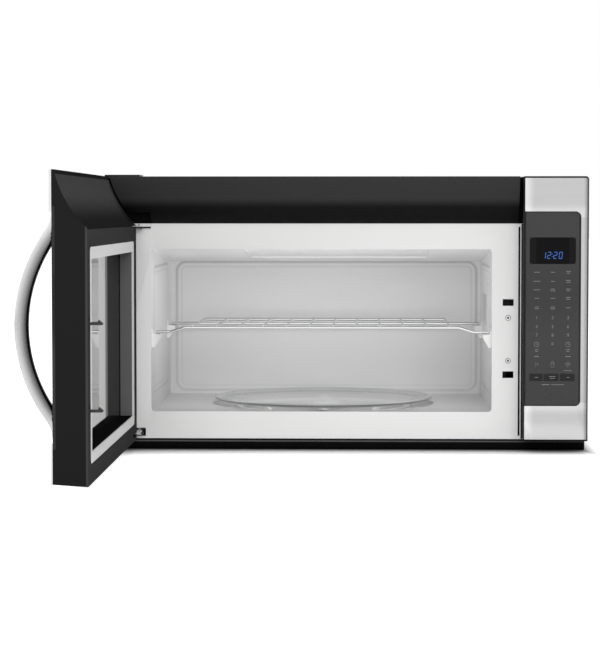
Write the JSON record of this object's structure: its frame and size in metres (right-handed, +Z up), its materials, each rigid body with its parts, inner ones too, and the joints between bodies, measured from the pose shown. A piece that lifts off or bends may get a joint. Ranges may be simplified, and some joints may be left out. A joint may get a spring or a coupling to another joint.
{
  "type": "over the range microwave oven",
  "caption": "Microwave oven with a hood for mounting over a range: side hinged door with a bow handle, curved vent band, turntable, wire rack and touch control panel.",
  "frame": {"origin": "on the wall plane, level with the underside of the case, midway between its sides", "axes": "+X to the right seen from the front, +Y to the wall, +Z up; the front faces -Y"},
  "size_m": [0.8109, 1.0745, 0.4371],
  "materials": {
    "white_paint": "white enamel",
    "black_paint": "satin black",
    "grey_steel": "zinc plated sheet",
    "stainless": "brushed stainless",
    "chrome": "bright wire",
    "cavity_enamel": "light grey enamel",
    "black_plastic": "satin",
    "light_plastic": "satin",
    "white_plastic": "satin",
    "dark_glass": "smoked",
    "clear_glass": "clear",
    "tinted_glass": "tinted",
    "aluminium": "plain",
    "board_green": "circuit board",
    "core_iron": "varnished laminations",
    "mica": "mica sheet",
    "carbon": "carbon filter",
    "lamp_glass": "clear"
  },
  "bodies": {
    "chassis": {"wall_plate": "grey_steel", "rear_panel": "grey_steel", "case_wrap": "grey_steel", "base_pan": "black_paint", "base_plate": "grey_steel", "front_frame": "white_paint", "upper_panel": "black_paint", "vent_deflector": "black_plastic", "vent_grille": "black_plastic", "charcoal_filter": "carbon", "hinge_cover": "black_plastic", "chassis_screws": "grey_steel", "exhaust_collar": "grey_steel", "hinge_upper": "chrome", "hinge_lower": "chrome", "cavity_liner": "cavity_enamel", "rack_clips": "white_plastic", "turntable_motor": "grey_steel", "waveguide_cover": "mica", "lamp_bulbs": "lamp_glass", "control_carrier": "black_plastic", "control_trim": "stainless", "control_glass": "dark_glass", "display_window": "dark_glass", "control_board": "board_green", "interlock_bracket": "light_plastic", "interlock_switches": "black_plastic", "magnetron": "aluminium", "waveguide": "grey_steel", "hv_transformer": "core_iron", "hv_capacitor": "aluminium", "hv_diode": "black_plastic", "fan_housing": "black_plastic", "fan_motor": "core_iron", "blower_housing": "grey_steel", "blower_motor": "grey_steel", "grease_filters": "aluminium", "hood_lenses": "clear_glass"},
    "door": {"door_frame": "black_plastic", "door_bezel": "light_plastic", "door_choke": "grey_steel", "inner_window": "tinted_glass", "window_screen": "black_paint", "door_glass": "dark_glass", "door_trim_top": "stainless", "door_trim_bottom": "stainless", "door_handle": "stainless", "handle_screws": "grey_steel"},
    "latch": {"latch_bar": "black_plastic", "latch_spring": "chrome"},
    "turntable": {"turntable_plate": "clear_glass", "turntable_coupler": "white_plastic"},
    "roller_ring": {"roller_ring": "white_plastic"},
    "roller_wheel_1": {"roller_wheel_1": "white_plastic"},
    "roller_wheel_2": {"roller_wheel_2": "white_plastic"},
    "roller_wheel_3": {"roller_wheel_3": "white_plastic"},
    "rack": {"rack": "chrome"},
    "damper": {"damper_flap": "grey_steel"},
    "blower": {"blower_wheels": "black_plastic"},
    "fan": {"fan_blade": "light_plastic"}
  },
  "joints": [
    {"name": "door_swing", "type": "hinge", "parent": "chassis", "child": "door", "pos_m": [-0.3665, -0.431, 0.22], "axis": [0, 0, 1], "range_deg": [0, 90]},
    {"name": "latch_travel", "type": "slide", "parent": "door", "child": "latch", "axis": [0, 0, 1], "range_m": [0, 0.002], "stiffness_N_per_m": 400, "springref_m": -0.002, "deforming": ["latch_spring"]},
    {"name": "turntable_spin", "type": "hinge", "parent": "chassis", "child": "turntable", "pos_m": [-0.0399, -0.208, 0.06], "axis": [0, 0, 1], "continuous": true},
    {"name": "roller_ring_spin", "type": "hinge", "parent": "chassis", "child": "roller_ring", "pos_m": [-0.0399, -0.208, 0.0545], "axis": [0, 0, 1], "continuous": true},
    {"name": "roller_1_spin", "type": "hinge", "parent": "roller_ring", "child": "roller_wheel_1", "pos_m": [-0.0399, -0.058, 0.0545], "axis": [0, 1, 0], "continuous": true},
    {"name": "roller_2_spin", "type": "hinge", "parent": "roller_ring", "child": "roller_wheel_2", "pos_m": [-0.12807, -0.32935, 0.0545], "axis": [-0.5878, -0.809, 0], "continuous": true},
    {"name": "roller_3_spin", "type": "hinge", "parent": "roller_ring", "child": "roller_wheel_3", "pos_m": [0.04827, -0.32935, 0.0545], "axis": [0.5878, -0.809, 0], "continuous": true},
    {"name": "rack_slide", "type": "slide", "parent": "chassis", "child": "rack", "axis": [0, 1, 0], "range_m": [-0.3, 0]},
    {"name": "damper_swing", "type": "hinge", "parent": "chassis", "child": "damper", "pos_m": [0, -0.051, 0.41495], "axis": [-1, 0, 0], "range_deg": [0, 70]},
    {"name": "blower_spin", "type": "hinge", "parent": "chassis", "child": "blower", "pos_m": [0, -0.0873, 0.366], "axis": [1, 0, 0], "continuous": true},
    {"name": "fan_spin", "type": "hinge", "parent": "chassis", "child": "fan", "pos_m": [0.30565, -0.045, 0.27], "axis": [0, 1, 0], "continuous": true}
  ],
  "couplings": [
    {"joint": "roller_ring_spin", "follows": "turntable_spin", "ratio": 0.5},
    {"joint": "roller_1_spin", "follows": "turntable_spin", "ratio": -9.7403},
    {"joint": "roller_2_spin", "follows": "turntable_spin", "ratio": -9.7403},
    {"joint": "roller_3_spin", "follows": "turntable_spin", "ratio": -9.7403}
  ]
}
